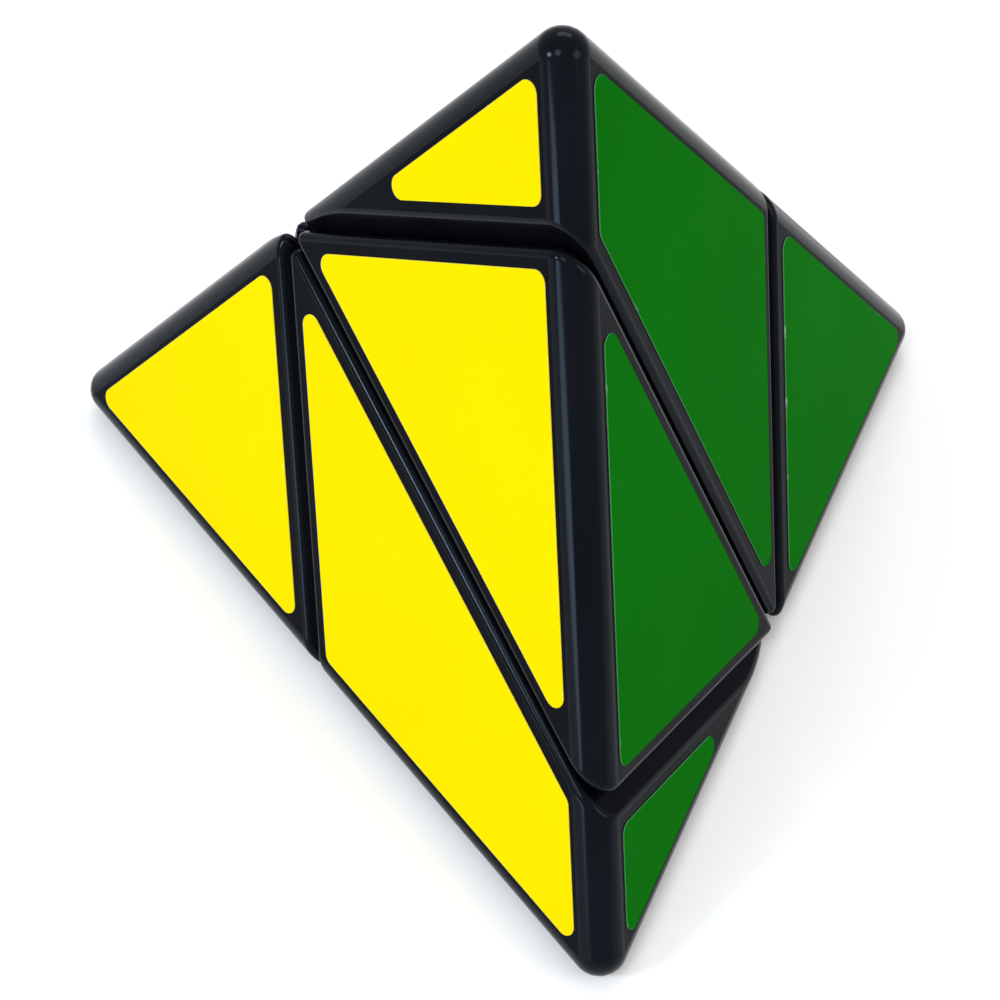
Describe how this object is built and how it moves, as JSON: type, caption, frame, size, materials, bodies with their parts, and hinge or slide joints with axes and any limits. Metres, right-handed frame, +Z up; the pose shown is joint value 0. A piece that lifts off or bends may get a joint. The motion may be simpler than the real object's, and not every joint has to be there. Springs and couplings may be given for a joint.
{
  "type": "pyramid twisty puzzle",
  "caption": "Pyramid-shaped twisty puzzle cut by three planes through one line into hollow stickered wedges that turn around a sprung, screwed core.",
  "frame": {"origin": "centre of the base face, on the surface that the puzzle stands on, straight below the core's centre", "axes": "+Z up through the pyramid's top corner, -Y towards the front corner between the yellow and green faces, +X to the right"},
  "size_m": [0.0874, 0.0769, 0.0731],
  "materials": {
    "shell_plastic": "glossy moulded, black",
    "inner_plastic": "satin moulded, black",
    "core_plastic": "satin moulded, dark grey",
    "screw_steel": "zinc plated",
    "washer_steel": "bright",
    "spring_steel": "bright wire",
    "yellow_vinyl": "gloss vinyl sticker",
    "green_vinyl": "gloss vinyl sticker",
    "red_vinyl": "gloss vinyl sticker",
    "blue_vinyl": "gloss vinyl sticker"
  },
  "bodies": {
    "core": {"core_spider": "core_plastic", "core_ball_left": "core_plastic", "core_ball_right": "core_plastic", "screw_upper_middle": "screw_steel", "screw_left": "screw_steel", "screw_right": "screw_steel", "washer_upper_middle": "washer_steel", "washer_left": "washer_steel", "washer_right": "washer_steel", "spring_upper_middle": "spring_steel", "spring_left": "spring_steel", "spring_right": "spring_steel", "shell_lower_middle": "shell_plastic", "foot_lower_middle": "inner_plastic", "sticker_red_middle": "red_vinyl", "sticker_blue_middle": "blue_vinyl"},
    "upper_layer": {"shell_top": "shell_plastic", "foot_top": "inner_plastic", "shell_front": "shell_plastic", "foot_front": "inner_plastic", "sticker_yellow_top": "yellow_vinyl", "sticker_yellow_front": "yellow_vinyl", "sticker_green_top": "green_vinyl", "sticker_green_front": "green_vinyl", "sticker_red_top": "red_vinyl", "sticker_blue_front": "blue_vinyl"},
    "upper_middle": {"shell_upper_middle": "shell_plastic", "seat_upper_middle": "inner_plastic", "sticker_yellow_middle": "yellow_vinyl", "sticker_green_middle": "green_vinyl"},
    "left_wedge": {"shell_left": "shell_plastic", "seat_left": "inner_plastic", "sticker_yellow_left": "yellow_vinyl", "sticker_red_left": "red_vinyl", "sticker_blue_left": "blue_vinyl"},
    "right_wedge": {"shell_right": "shell_plastic", "seat_right": "inner_plastic", "sticker_green_right": "green_vinyl", "sticker_red_right": "red_vinyl", "sticker_blue_right": "blue_vinyl"}
  },
  "joints": [
    {"name": "upper_turn", "type": "hinge", "parent": "core", "child": "upper_layer", "pos_m": [0, 0, 0.01955], "axis": [0, -0.8165, 0.5773], "continuous": true},
    {"name": "upper_middle_lift", "type": "slide", "parent": "upper_layer", "child": "upper_middle", "axis": [0, -0.8165, 0.5773], "range_m": [0, 0.0008], "stiffness_N_per_m": 700, "springref_m": -0.0015, "deforming": ["spring_upper_middle"]},
    {"name": "left_lift", "type": "slide", "parent": "core", "child": "left_wedge", "axis": [-0.6124, 0.0547, -0.7887], "range_m": [0, 0.0008], "stiffness_N_per_m": 700, "springref_m": -0.0015, "deforming": ["spring_left"]},
    {"name": "right_lift", "type": "slide", "parent": "core", "child": "right_wedge", "axis": [0.6124, 0.7618, 0.2113], "range_m": [0, 0.0008], "stiffness_N_per_m": 700, "springref_m": -0.0015, "deforming": ["spring_right"]}
  ]
}
